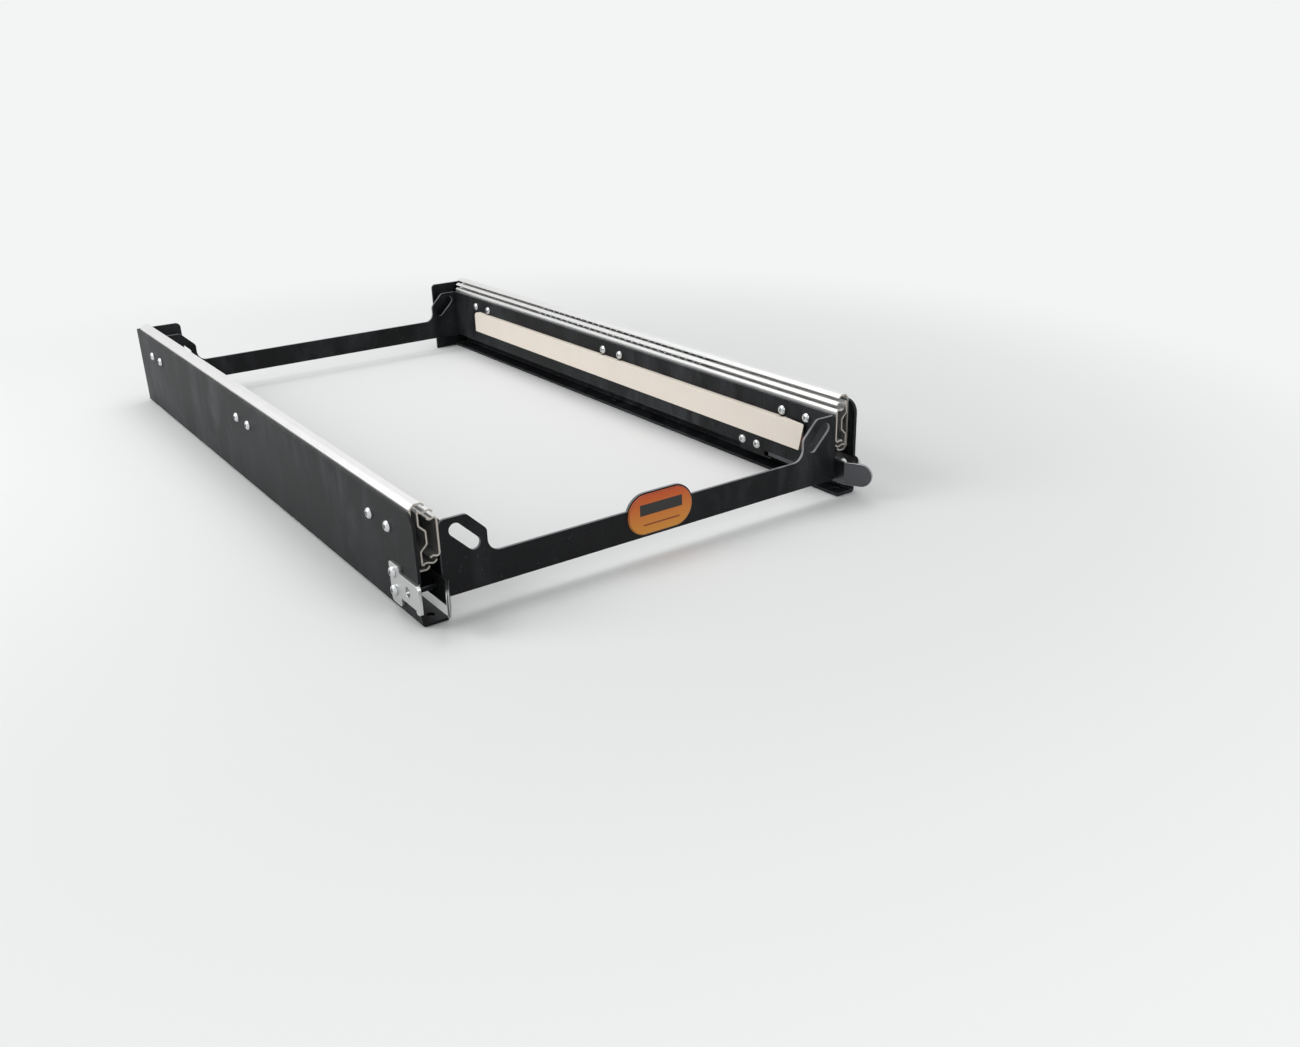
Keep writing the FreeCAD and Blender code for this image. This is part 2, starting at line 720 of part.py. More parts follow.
# Button-head screws: each group of like screws is one node
def button_screw(seat, direction, grip):
    """Make a screw whose head sits on a place and whose shank runs the other way."""
    head = value("dim.head_radius")
    top = value("dim.head_height")
    edge = value("dim.head_edge")
    shank = value("dim.screw_radius")
    outline = Part.makePolygon([
        V(0, 0, -grip), V(shank, 0, -grip), V(shank, 0, 0), V(head, 0, 0),
        V(head, 0, top - edge), V(head - edge, 0, top), V(0, 0, top), V(0, 0, -grip),
    ])
    screw = Part.Face(outline).revolve(V(0, 0, 0), V(0, 0, 1), 360)
    corner = value("dim.socket_flats / 2 / cos(30)")
    depth = value("dim.socket_depth")
    turn = FreeCAD.Rotation(V(0, 0, 1), 60)
    points = [V(corner, 0, top - depth)]
    for side in range(6):
        points.append(turn.multVec(points[-1]))
    screw = screw.cut(Part.Face(Part.makePolygon(points)).extrude(V(0, 0, depth + 1)))
    screw.Placement = FreeCAD.Placement(seat, FreeCAD.Rotation(V(0, 0, 1), direction))
    return screw


def screw_group(label, places, seat, direction, grip):
    """Make the screws of one group on the right side; places are (along, up)."""
    screws = [
        button_screw(V(value(seat), value(along), value(up)), direction, value(grip))
        for along, up in places
    ]
    sided(label, computed(f"{label}_right", Part.makeCompound(screws)))


screw_group(
    "rail_screws", [(along, "dim.slide_height") for along in both_of(RAIL_PAIRS)],
    "dim.half_width", V(1, 0, 0), "dim.rail_sheet + dim.member_sheet + dim.tip_beyond",
)
screw_group(
    "tray_screws", [(along, "dim.slide_height") for along in both_of(TRAY_PAIRS)],
    SIDE_FACE, V(-1, 0, 0), "dim.tray_sheet + dim.member_sheet + dim.tray_tip_beyond",
)
screw_group(
    "bracket_screws", [(along, "dim.bracket_screw_height") for along in BRACKET_SCREWS],
    SIDE_FACE, V(-1, 0, 0), "dim.tray_sheet + dim.bracket_sheet",
)
screw_group(
    "keeper_screws", [(f"{FRONT} + dim.keeper_screw_back", up) for up in KEEPER_SCREWS],
    "dim.half_width + dim.keeper_thick", V(1, 0, 0), "dim.keeper_thick + dim.rail_sheet",
)

# Keeper: flat plate that bridges the rail's notch from outside and takes the lock pin
KEEPER_REAR = f"({FRONT} + dim.keeper_rear_back)"
KEEPER_STEP = f"({FRONT} + dim.keeper_step_back)"
KEEPER_FRONT = f"({FRONT} - dim.keeper_overhang)"
keeper = new_body("keeper_right")
shape = sketch_on(keeper, "YZ_Plane", "dim.half_width")
draw(shape, [
    (f"{KEEPER_REAR} - dim.keeper_corner", "dim.keeper_foot"),
    (KEEPER_REAR, "dim.keeper_foot + dim.keeper_corner", "dim.keeper_corner", 1),
    (KEEPER_REAR, "dim.keeper_head - dim.keeper_corner"),
    (f"{KEEPER_REAR} - dim.keeper_corner", "dim.keeper_head", "dim.keeper_corner", 1),
    (f"{KEEPER_STEP} + dim.keeper_corner", "dim.keeper_head"),
    (KEEPER_STEP, "dim.keeper_head - dim.keeper_corner", "dim.keeper_corner", 1),
    (KEEPER_STEP, "dim.keeper_high"),
    (f"{KEEPER_FRONT} + dim.keeper_nose", "dim.keeper_high"),
    (KEEPER_FRONT, "dim.keeper_high - dim.keeper_nose", "dim.keeper_nose", 1),
    (KEEPER_FRONT, "dim.claw_low + dim.claw_corner"),
    (f"{KEEPER_FRONT} + dim.claw_corner", "dim.claw_low", "dim.claw_corner", 1),
    (f"{KEEPER_FRONT} + dim.claw_width - dim.claw_corner", "dim.claw_low"),
    (
        f"{KEEPER_FRONT} + dim.claw_width",
        "dim.claw_low + dim.claw_corner",
        "dim.claw_corner",
        1,
    ),
    (f"{KEEPER_FRONT} + dim.claw_width", "dim.keeper_low"),
    (KEEPER_STEP, "dim.keeper_low"),
    (KEEPER_STEP, "dim.keeper_foot + dim.keeper_corner"),
    (f"{KEEPER_STEP} + dim.keeper_corner", "dim.keeper_foot", "dim.keeper_corner", 1),
])
circle(shape, f"{FRONT} + dim.keeper_hole_back", "dim.lock_height", "dim.keeper_hole")
for up in KEEPER_SCREWS:
    circle(shape, f"{FRONT} + dim.keeper_screw_back", up, SCREW_HOLE)
pad(keeper, shape, "dim.keeper_thick")
sided("keeper", keeper)

# Lock lever: a strip rolled round its hinge pin, with a flared and rounded thumb tab
LEVER_FACE = f"({TRAY_FACE} + dim.lever_gap)"
KNUCKLE = "(dim.hinge_radius + dim.hinge_fit + dim.lever_sheet / 2)"
HINGE_ACROSS = f"({LEVER_FACE} + dim.lever_sheet / 2 + {KNUCKLE})"
HINGE_ALONG = f"({FRONT} + dim.hinge_back)"
LEVER_BEND = f"({FRONT} - dim.lever_bend_ahead)"
LEVER_LOW = "(dim.lock_height - dim.lever_half)"
LEVER_HIGH = "(dim.lock_height + dim.lever_half)"
route = doc.addObject("Sketcher::SketchObject", "lever_line")
route.setExpression("Placement.Base.z", LEVER_LOW)
draw(route, [
    (HINGE_ACROSS, f"{HINGE_ALONG} - {KNUCKLE}"),
    (f"{HINGE_ACROSS} + {KNUCKLE}", HINGE_ALONG, KNUCKLE, 1),
    (HINGE_ACROSS, f"{HINGE_ALONG} + {KNUCKLE}", KNUCKLE, 1),
    (f"{HINGE_ACROSS} - {KNUCKLE}", HINGE_ALONG, KNUCKLE, 1),
    (f"{HINGE_ACROSS} - {KNUCKLE}", LEVER_BEND),
    (
        f"{HINGE_ACROSS} - {KNUCKLE} + dim.tab_length * sin(dim.tab_flare)",
        f"{LEVER_BEND} - dim.tab_length * cos(dim.tab_flare)",
    ),
], closed=False)
ribbon = doc.addObject("Part::Offset2D", "lever_sheet")
ribbon.Source = route
ribbon.Mode = "Pipe"
ribbon.Join = "Arc"
ribbon.setExpression("Value", "dim.lever_sheet / 2")
band = doc.addObject("Part::Extrusion", "lever_band")
band.Base = ribbon
band.DirMode = "Custom"
band.Dir = V(0, 0, 1)
band.Solid = True
band.setExpression("LengthFwd", "2 * dim.lever_half")

# The band keeps what lies within an outline seen square to the tab
side_view = doc.addObject("Sketcher::SketchObject", "tab_outline")
side_view.setExpression("Placement.Base.x", f"{HINGE_ACROSS} - {KNUCKLE}")
side_view.setExpression("Placement.Base.y", LEVER_BEND)
side_view.setExpression("Placement.Base.z", "dim.lock_height")
flare = value("dim.tab_flare")
side_view.Placement = FreeCAD.Placement(
    V(0, 0, 0),
    FreeCAD.Rotation(V(0, 0, 1), flare - 90) * FreeCAD.Rotation(V(1, 0, 0), 90),
)
draw(side_view, [
    ("-dim.hinge_back * 2", "-dim.lever_half"),
    ("dim.tab_length - dim.lever_half", "-dim.lever_half"),
    ("dim.tab_length", "0", "dim.lever_half", 1),
    ("dim.tab_length - dim.lever_half", "dim.lever_half", "dim.lever_half", 1),
    ("-dim.hinge_back * 2", "dim.lever_half"),
])
keep = doc.addObject("Part::Extrusion", "tab_keep")
keep.Base = side_view
keep.DirMode = "Normal"
keep.Solid = True
keep.Symmetric = True
keep.setExpression("LengthFwd", "dim.hinge_back * 4")
rounded = doc.addObject("Part::Common", "lever_rounded")
rounded.Base = band
rounded.Tool = keep

# The knuckle is open in the middle, and the lock pin has its hole
window = doc.addObject("Part::Box", "knuckle_window")
window.setExpression("Placement.Base.x", f"{LEVER_FACE} - 1")
window.setExpression("Placement.Base.y", f"{HINGE_ALONG} - {KNUCKLE} - dim.lever_sheet")
window.setExpression("Placement.Base.z", f"{LEVER_LOW} + dim.knuckle_height")
window.setExpression("Length", f"2 * {KNUCKLE} + 2 * dim.lever_sheet")
window.setExpression("Width", f"2 * {KNUCKLE} + 2 * dim.lever_sheet")
window.setExpression("Height", "2 * (dim.lever_half - dim.knuckle_height)")


def rod(name, radius, length, start, axis):
    """Make a round rod whose start and size the sheet sets."""
    bar = doc.addObject("Part::Cylinder", name)
    bar.Placement = FreeCAD.Placement(V(0, 0, 0), FreeCAD.Rotation(V(0, 0, 1), axis))
    bar.setExpression("Radius", radius)
    bar.setExpression("Height", length)
    for letter, place in zip("xyz", start):
        bar.setExpression(f"Placement.Base.{letter}", place)
    return bar


def fuse(name, pieces):
    joined = doc.addObject("Part::MultiFuse", name)
    joined.Shapes = pieces
    return joined


PIN_ROW = (f"{FRONT} + dim.lock_pin_back", "dim.lock_height")
pin_hole = rod("pin_hole", "dim.lock_pin_radius", "dim.lever_sheet + 2", (f"{LEVER_FACE} - 1",) + PIN_ROW,
               V(1, 0, 0))
sided("lever", subtract("lever_right", rounded, fuse("lever_cuts", [window, pin_hole])))

# Lock pin: riveted in the lever, with a collar and a pointed tip
POINT_FROM = f"({RAIL_FACE} - dim.lock_pin_tip_gap - dim.lock_pin_point)"
body = rod("pin_body", "dim.lock_pin_radius", f"{POINT_FROM} - {LEVER_FACE}", (LEVER_FACE,) + PIN_ROW,
           V(1, 0, 0))
collar = rod("pin_collar", "dim.collar_radius", "dim.collar_height",
             (f"{LEVER_FACE} + dim.lever_sheet",) + PIN_ROW, V(1, 0, 0))
point = doc.addObject("Part::Cone", "pin_point")
point.Placement = FreeCAD.Placement(V(0, 0, 0), FreeCAD.Rotation(V(0, 0, 1), V(1, 0, 0)))
point.setExpression("Placement.Base.x", POINT_FROM)
point.setExpression("Placement.Base.y", PIN_ROW[0])
point.setExpression("Placement.Base.z", PIN_ROW[1])
point.setExpression("Radius1", "dim.lock_pin_radius")
point.setExpression("Radius2", "dim.lock_pin_radius - dim.lock_pin_point")
point.setExpression("Height", "dim.lock_pin_point")
sided("lock_pin", fuse("lock_pin_right", [body, collar, point]))

# Lever bracket: a folded channel screwed to the tray, with an ear above and below the knuckle
EAR_LOW = f"({LEVER_LOW} - dim.bracket_gap - dim.bracket_sheet)"
EAR_HIGH = f"({LEVER_HIGH} + dim.bracket_gap)"
EAR_END = f"({HINGE_ALONG} - dim.ear_margin)"
BRACKET_FRONT = f"({FRONT} + dim.bracket_front_back)"
BRACKET_REAR = f"({FRONT} + dim.bracket_rear_back)"
EAR_REAR = f"({FRONT} + dim.ear_rear_back)"
bracket = new_body("lever_bracket_right")
web = sketch_on(bracket, "YZ_Plane", TRAY_FACE)
draw(web, [
    (BRACKET_FRONT, EAR_LOW),
    (BRACKET_REAR, EAR_LOW),
    (BRACKET_REAR, f"{EAR_HIGH} + dim.bracket_sheet"),
    (BRACKET_FRONT, f"{EAR_HIGH} + dim.bracket_sheet"),
])
for along in BRACKET_SCREWS:
    circle(web, along, "dim.bracket_screw_height", SCREW_HOLE)
pad(bracket, web, "dim.bracket_sheet")
for level in (EAR_LOW, EAR_HIGH):
    ear = sketch_on(bracket, "XY_Plane", level)
    draw(ear, [
        (TRAY_FACE, EAR_REAR),
        (TRAY_FACE, EAR_END),
        (HINGE_ACROSS, EAR_END),
        (f"{HINGE_ACROSS} + dim.ear_margin", HINGE_ALONG, "dim.ear_margin", 1),
        (f"{HINGE_ACROSS} + dim.ear_margin", BRACKET_FRONT),
        (f"{TRAY_FACE} + dim.bracket_sheet", EAR_REAR),
    ])
    circle(ear, HINGE_ACROSS, HINGE_ALONG, "dim.hinge_radius")
    pad(bracket, ear, "dim.bracket_sheet")
sided("lever_bracket", bracket)

# Hinge pin: riveted over at both ends
HINGE_ROW = (HINGE_ACROSS, HINGE_ALONG)
pin = rod("hinge_shank", "dim.hinge_radius", f"{EAR_HIGH} + dim.bracket_sheet - {EAR_LOW}",
          HINGE_ROW + (EAR_LOW,), V(0, 0, 1))
foot = rod("hinge_foot", "dim.rivet_radius", "dim.rivet_height",
           HINGE_ROW + (f"{EAR_LOW} - dim.rivet_height",), V(0, 0, 1))
head = rod("hinge_head", "dim.rivet_radius", "dim.rivet_height",
           HINGE_ROW + (f"{EAR_HIGH} + dim.bracket_sheet",), V(0, 0, 1))
sided("hinge_pin", fuse("hinge_pin_right", [pin, foot, head]))

doc.recompute()
faults = [thing.Name for thing in doc.Objects if {"Invalid", "Error"} & set(thing.State)]
faults += [node.Label for node in nodes if node.Shape.isNull() or not node.Shape.isValid()]
if faults:
    raise SystemExit(f"These objects didn't build: {faults}")

for node in nodes:
    node.Shape.exportStep(f"parts/{node.Label}.step")
    box = node.Shape.BoundBox
    print(
        f"{node.Label}: {len(node.Shape.Solids)} solid(s), {node.Shape.Volume / 1000:.2f} cm3, "
        f"X {box.XMin:.1f} to {box.XMax:.1f}, Y {box.YMin:.1f} to {box.YMax:.1f}, "
        f"Z {box.ZMin:.1f} to {box.ZMax:.1f}"
    )
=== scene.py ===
# %% [markdown]
# # A fridge slide on ball-bearing runners
#
# The object is a pull-out tray frame for a portable fridge. Two folded steel rails stand on the
# deck, and a three-section ball slide on each carries an open tray of black powder-coated sheet.
# The frame comes in from the CAD model at its real size, so this script works on the looks:
# rounded sheet edges, smooth screw heads, full rows of balls, and one material for each real
# finish. The sheet edges also carry a painted highlight, the lever a painted dark reflection, and
# the ends of the wear strips painted shade.

# %% Load the frame
import json
import math

import bmesh
import bpy
from mathutils import Matrix, Vector

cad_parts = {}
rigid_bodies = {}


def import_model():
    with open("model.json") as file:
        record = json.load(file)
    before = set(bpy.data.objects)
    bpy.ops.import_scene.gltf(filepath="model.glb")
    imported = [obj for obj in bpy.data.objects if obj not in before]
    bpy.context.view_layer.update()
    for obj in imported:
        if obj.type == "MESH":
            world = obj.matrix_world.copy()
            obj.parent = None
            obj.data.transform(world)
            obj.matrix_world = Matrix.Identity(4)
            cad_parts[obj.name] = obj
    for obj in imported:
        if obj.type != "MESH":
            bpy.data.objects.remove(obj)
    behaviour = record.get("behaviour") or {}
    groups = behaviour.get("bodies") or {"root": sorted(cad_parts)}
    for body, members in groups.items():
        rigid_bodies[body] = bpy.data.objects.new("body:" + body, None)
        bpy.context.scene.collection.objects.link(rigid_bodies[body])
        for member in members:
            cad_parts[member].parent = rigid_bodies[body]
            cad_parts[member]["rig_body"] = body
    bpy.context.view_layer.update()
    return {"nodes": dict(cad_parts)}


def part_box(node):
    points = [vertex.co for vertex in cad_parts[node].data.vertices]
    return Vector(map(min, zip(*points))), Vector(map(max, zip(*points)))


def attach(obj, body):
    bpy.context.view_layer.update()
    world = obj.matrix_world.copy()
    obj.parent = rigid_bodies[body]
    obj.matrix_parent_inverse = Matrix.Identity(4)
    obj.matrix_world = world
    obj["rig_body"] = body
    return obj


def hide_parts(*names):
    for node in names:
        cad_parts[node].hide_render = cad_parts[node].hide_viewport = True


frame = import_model()
nodes = frame["nodes"]
MM = 0.001
SIDES = {"left": -1, "right": 1}
print("CAD pieces:", len(nodes))

# %% [markdown]
# ## The camera
#
# The photograph's parallel edges give its viewpoint: in front of the object, to its left and above
# it, with the picture turned a little. The three directions of the view are worked out from those
# angles.

# %% Camera
VIEW_AZIMUTH = math.radians(-35.01)
VIEW_ELEVATION = math.radians(22.58)
VIEW_ROLL = math.radians(-1.62)
CAMERA_MM = (-517.5, -1100.0, 394.1)
LENS_MM = 32.59
SENSOR_MM = 36
NEAREST_M = 0.01

forward = Vector((
    -math.sin(VIEW_AZIMUTH) * math.cos(VIEW_ELEVATION),
    math.cos(VIEW_AZIMUTH) * math.cos(VIEW_ELEVATION),
    -math.sin(VIEW_ELEVATION),
))
level = Vector((math.cos(VIEW_AZIMUTH), math.sin(VIEW_AZIMUTH), 0))
upright = level.cross(forward)
right = level * math.cos(VIEW_ROLL) + upright * math.sin(VIEW_ROLL)
up = upright * math.cos(VIEW_ROLL) - level * math.sin(VIEW_ROLL)
turned = Matrix((right, up, -forward)).transposed().to_4x4()

lens = bpy.data.cameras.new("photo_camera")
lens.sensor_width = SENSOR_MM
lens.lens = LENS_MM
lens.clip_start = NEAREST_M
camera = bpy.data.objects.new("photo_camera", lens)
bpy.context.scene.collection.objects.link(camera)
camera.matrix_world = Matrix.Translation(Vector(CAMERA_MM) * MM) @ turned
bpy.context.scene.camera = camera
print("camera at", [round(v, 3) for v in camera.location])

# %% [markdown]
# ## Helpers for materials
#
# Paint and metal colours are noted as sRGB hex values, as a colour picker shows them.
# Blender's shaders work in linear light, so one function turns them.
# A second function adds one node with its settings and inputs, and a few short ones add the kinds
# of node that every material here needs: noise, a ramp, a sum, a blend of two colours and a bump.

# %% Colour and node helpers
def tone(hex_colour):
    """Turn an sRGB hex colour into linear light."""
    parts = [int(hex_colour[i:i + 2], 16) / 255 for i in (1, 3, 5)]
    return tuple(p / 12.92 if p <= 0.04045 else ((p + 0.055) / 1.055) ** 2.4 for p in parts) + (1,)


def join(tree, node, **inputs):
    """Fill inputs, named or as i0, i1 and so on, with sockets or plain values."""
    for name, value in inputs.items():
        key = int(name[1:]) if name[0] == "i" and name[1:].isdigit() else name.replace("_", " ")
        if isinstance(value, bpy.types.NodeSocket):
            tree.links.new(value, node.inputs[key])
        else:
            node.inputs[key].default_value = value
    return node


def add(tree, kind, settings=None, **inputs):
    """Add one node with its settings and inputs."""
    node = tree.nodes.new(kind)
    for name, value in (settings or {}).items():
        setattr(node, name, value)
    return join(tree, node, **inputs)


def per_metre(size_mm):
    """Give the noise scale whose features are this large."""
    return 1 / (size_mm * MM)


def noise(tree, place, scale, detail, **inputs):
    """Add a noise texture and return its value."""
    texture = add(tree, "ShaderNodeTexNoise", None, Vector=place, Scale=scale, Detail=detail,
                  **inputs)
    return texture.outputs[0]


def ramp(tree, value, **limits):
    """Map a value; i1 and i2 are the limits it comes from, i3 and i4 those it goes to."""
    return add(tree, "ShaderNodeMapRange", None, Value=value, **limits).outputs[0]


def maths(tree, operation, first, second=0.0):
    """Add one arithmetic node and return its value."""
    return add(tree, "ShaderNodeMath", {"operation": operation}, i0=first, i1=second).outputs[0]


def blend(tree, factor, first, second):
    """Mix two colours and return the mixture."""
    mix = add(tree, "ShaderNodeMix", {"data_type": "RGBA"}, Factor=factor, i6=first, i7=second)
    return mix.outputs[2]


def bump(tree, height, strength, depth_mm):
    """Turn a height into a normal and return it."""
    relief = add(tree, "ShaderNodeBump", None, Height=height, Strength=strength,
                 Distance=depth_mm * MM)
    return relief.outputs[0]


def finish_for(name):
    """Start a material and return it with its tree, shader and object coordinates."""
    material = bpy.data.materials.new(name)
    material.use_nodes = True
    tree = material.node_tree
    shader = tree.nodes["Principled BSDF"]
    place = tree.nodes.new("ShaderNodeTexCoord").outputs["Object"]
    return material, tree, shader, place


print("black reads as", [round(v, 4) for v in tone("#1C1D1F")[:3]])

# %% [markdown]
# ## Black powder coat
#
# Powder coat is a polyester powder that is sprayed on dry and melted in an oven. It is a satin
# black with a shallow orange peel about 1.5 mm across. Handling leaves grey rubs that run up and
# down the plates, and a little dust lies on them. Noise that is stretched upwards makes the rubs,
# and it moves the roughness as well as the colour, so they also show where the light grazes a
# face.

# %% Powder coat
PEEL_MM = 1.5
DUST_MM = 3.0
RUB_MM = 34.0
RUB_STRETCH = (1, 1, 0.4)
HANDLED_PER_METRE = 7.0
RUB_SHARE = 0.75
DUST_SHARE = 0.35
COAT_SPECULAR = 0.16


def black_coat(name, clean, rubbed, clean_roughness, rubbed_roughness):
    """Powder coat with rubs and dust, from a clean to a rubbed colour and roughness."""
    material, tree, shader, place = finish_for(name)
    stretched = add(tree, "ShaderNodeMapping", None, Vector=place, Scale=RUB_STRETCH).outputs[0]
    rubs = noise(tree, stretched, per_metre(RUB_MM), 6.0, Roughness=0.6, Distortion=0.4)
    cloud = ramp(tree, rubs, i1=0.45, i2=0.8)
    patches = noise(tree, place, HANDLED_PER_METRE, 3.0)
    handled = maths(tree, "MULTIPLY", cloud, ramp(tree, patches, i1=0.35, i2=0.65))
    specks = noise(tree, place, per_metre(DUST_MM), 3.0)
    dust = ramp(tree, specks, i1=0.62, i2=0.8, i4=DUST_SHARE)
    marks = add(tree, "ShaderNodeMath", {"operation": "MULTIPLY_ADD", "use_clamp": True},
                i0=handled, i1=RUB_SHARE, i2=dust).outputs[0]
    peel = noise(tree, place, per_metre(PEEL_MM), 2.0)
    join(
        tree, shader,
        Base_Color=blend(tree, marks, tone(clean), tone(rubbed)),
        Roughness=ramp(tree, marks, i3=clean_roughness, i4=rubbed_roughness),
        Normal=bump(tree, peel, strength=0.15, depth_mm=0.2),
        Specular_IOR_Level=COAT_SPECULAR,
    )
    return material


powder_coat = black_coat("black_powder_coat", "#111214", "#44474B", 0.5, 0.38)
print("orange peel scale", round(per_metre(PEEL_MM)))

# %% [markdown]
# The rounded edges of the plates, and the cut faces of the end plates, get a lighter and smoother
# grey of their own. It is a painted highlight for the thin bright line that light draws along them,
# and it carries the same rubs and dust as the coat.

# %% Painted highlight on the edges of the coat
painted_edge_highlight = black_coat("powder_coat_edge_painted_highlight", "#6E7073", "#B4B6B9", 0.3, 0.42)
print("edge finish set")

# %% [markdown]
# ## Zinc plate
#
# The slide members are roll-formed steel with a bright zinc plate. Rolling draws fine lines along
# the member, so the noise is stretched along Y, and it varies the roughness more than the colour.
# Punched plates and screw heads have no such direction. The lever is zinc given a dark grey, which
# paints in the dark surroundings it reflects, and the lock and hinge pins are black oxide, with the
# same fine lines across them.

# %% Zinc plate on rolled and punched steel
SPANGLES_PER_METRE = 60.0
SPANGLE_SHADE = 0.88
POLISH_SPREAD = 0.25


def zinc_finish(name, hex_colour, roughness, stretch, line_mm):
    """Plated steel whose fine lines run along the axis with the small stretch."""
    material, tree, shader, place = finish_for(name)
    drawn = add(tree, "ShaderNodeMapping", None, Vector=place, Scale=stretch).outputs[0]
    lines = noise(tree, drawn, per_metre(line_mm), 4.0)
    spangle = noise(tree, place, SPANGLES_PER_METRE, 3.0)
    bright = tone(hex_colour)
    shaded = tuple(v * SPANGLE_SHADE for v in bright[:3]) + (1,)
    join(
        tree, shader,
        Base_Color=blend(tree, spangle, shaded, bright),
        Roughness=ramp(tree, lines, i3=roughness * (1 - POLISH_SPREAD),
                       i4=roughness * (1 + POLISH_SPREAD)),
        Normal=bump(tree, lines, strength=0.08, depth_mm=0.1),
        Metallic=1.0,
    )
    return material


rolled_zinc = zinc_finish("rolled_zinc_plate", "#E8E8E7", 0.38, (1, 0.02, 1), 0.8)
punched_zinc = zinc_finish("punched_zinc_plate", "#D2D3D2", 0.34, (1, 1, 1), 1.2)
screw_zinc = zinc_finish("screw_zinc_plate", "#D8DADB", 0.22, (1, 1, 1), 0.6)
cage_steel = zinc_finish("cage_strip_steel", "#BFC1C0", 0.38, (1, 0.05, 1), 0.8)
# The lever's zinc is darkened as a painted reflection of the dark surroundings it mirrors.
lever_zinc_painted_dark = zinc_finish("lever_zinc_painted_dark_reflection", "#5C5E61", 0.36, (1, 1, 0.2), 1.0)
black_pin = zinc_finish("black_oxide_pin", "#2C2D2F", 0.34, (0.2, 1, 1), 0.8)
print("plated finishes set")

# %% [markdown]
# The cut ends of the members were sawn or sheared after plating, so they show greyer, warmer steel
# that is rougher than the rolled faces.

# %% Sheared steel ends
sheared_steel, tree, shader, place = finish_for("sheared_steel_end")
shear = noise(tree, place, per_metre(0.7), 3.0)
join(tree, shader, Base_Color=blend(tree, shear, tone("#A39D95"), tone("#D2CCC3")), Metallic=0.3,
     Roughness=0.5)
print("sheared end colours set")

# %% [markdown]
# ## Balls and plastic
#
# Bearing balls are ground steel, close to a mirror. The wear strips are cream sheet plastic, matt
# and faintly mottled. Their ends are rougher and a darker grey, which is painted shade, with a few
# orange smears.

# %% Ground steel
ground_steel, tree, shader, place = finish_for("ground_bearing_steel")
grind = noise(tree, place, per_metre(0.5), 2.0)
join(tree, shader, Base_Color=tone("#D9DADC"), Roughness=ramp(tree, grind, i3=0.1, i4=0.2),
     Metallic=1.0)
print("ground steel set")

# %% Cream plastic
MOTTLES_PER_METRE = 22.0
cream_plastic, tree, shader, place = finish_for("cream_sheet_plastic")
mottle = noise(tree, place, MOTTLES_PER_METRE, 5.0)
grain = noise(tree, place, per_metre(0.6), 2.0)
join(tree, shader, Base_Color=blend(tree, mottle, tone("#EADFD2"), tone("#F3EAE0")),
     Normal=bump(tree, grain, strength=0.06, depth_mm=0.1), Roughness=0.55)
print("cream plastic set")

# %% Ends of the plastic, with painted shade
plastic_end_shade_and_smears, tree, shader, place = finish_for("plastic_end_painted_shade_and_smears")
smear = noise(tree, place, per_metre(9), 3.0)
stain = ramp(tree, smear, i1=0.56, i2=0.64)
# The grey base is painted shade on the ends; the orange is smears on them.
join(tree, shader, Base_Color=blend(tree, stain, tone("#8C8378"), tone("#B4673F")), Roughness=0.8)
print("sawn ends set")

# %% [markdown]
# ## The badge's print
#
# The badge is printed foil under a clear resin dome, so it has a warm base colour with a coat over
# it. The print is an orange fade with a plain charcoal band and a thin line. Each of the two is
# where a point's distance from the stripe's middle is small, both across and upwards.

# %% Badge foil
SOFT_EDGE_MM = 0.3
badge_low, badge_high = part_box("badge")
badge_middle = (badge_low + badge_high) / 2
badge_size = badge_high - badge_low
badge_foil, tree, shader, place = finish_for("badge_foil_under_resin")
centred = add(tree, "ShaderNodeMapping", None, Vector=place, Location=tuple(-badge_middle))
parts = add(tree, "ShaderNodeSeparateXYZ", None, Vector=centred.outputs[0]).outputs
across, upwards = parts["X"], parts["Z"]
fade = ramp(tree, upwards, i1=-badge_size.z / 2, i2=badge_size.z / 2)
printed = blend(tree, fade, tone("#DC9636"), tone("#CB4F1B"))


def stripe(height_mm, half_mm, reach_mm):
    """Give 1 inside a plain stripe of the print and 0 outside, with soft edges."""
    inside = []
    for value, middle, half in ((upwards, height_mm, half_mm), (across, 0, reach_mm)):
        away = maths(tree, "ABSOLUTE", maths(tree, "SUBTRACT", value, middle * MM))
        inside.append(ramp(tree, away, i1=half * MM, i2=(half + SOFT_EDGE_MM) * MM, i3=1.0, i4=0.0))
    return maths(tree, "MULTIPLY", *inside)


band = stripe(height_mm=4.6, half_mm=4.6, reach_mm=21.0)
line = stripe(height_mm=-8.6, half_mm=0.5, reach_mm=18.0)
printed = blend(tree, band, printed, tone("#2A2A28"))
printed = blend(tree, line, printed, tone("#8A3A1C"))
join(tree, shader, Base_Color=printed, Roughness=0.4, Specular_IOR_Level=0.25, Coat_Weight=0.25,
     Coat_Roughness=0.08)
print("badge", [round(v / MM, 1) for v in badge_size])

# %% The badge's dark rim
rim_print, tree, shader, _ = finish_for("badge_dark_print")
join(tree, shader, Base_Color=tone("#6E2A17"), Roughness=0.35, Coat_Weight=0.5)
print("badge print set")

# %% [markdown]
# ## Rounded sheet edges
#
# Laser-cut and powder-coated sheet has no knife edges: the coat rounds them to about 0.3 mm, and
# that narrow round catches the light as a thin bright line. The CAD pieces are loose triangles
# with sharp edges, so a copy of each is merged, its flat triangles are dissolved into whole faces,
# and its sharp edges are bevelled. The copy then stands in for the CAD piece. The 45 degree
# corners of the end plates' ears are rounded first, with a larger radius.

# %% Dress a CAD piece
WELD_MM = 0.002
FLAT_DEG = 1
EAR_TURN_DEG = (35, 55)
EAR_SEGMENTS = 6
SHADING_DEG = 50
ALONG_Y = 0.99
END_FACE = 0.7
CUT_FACE = 0.6


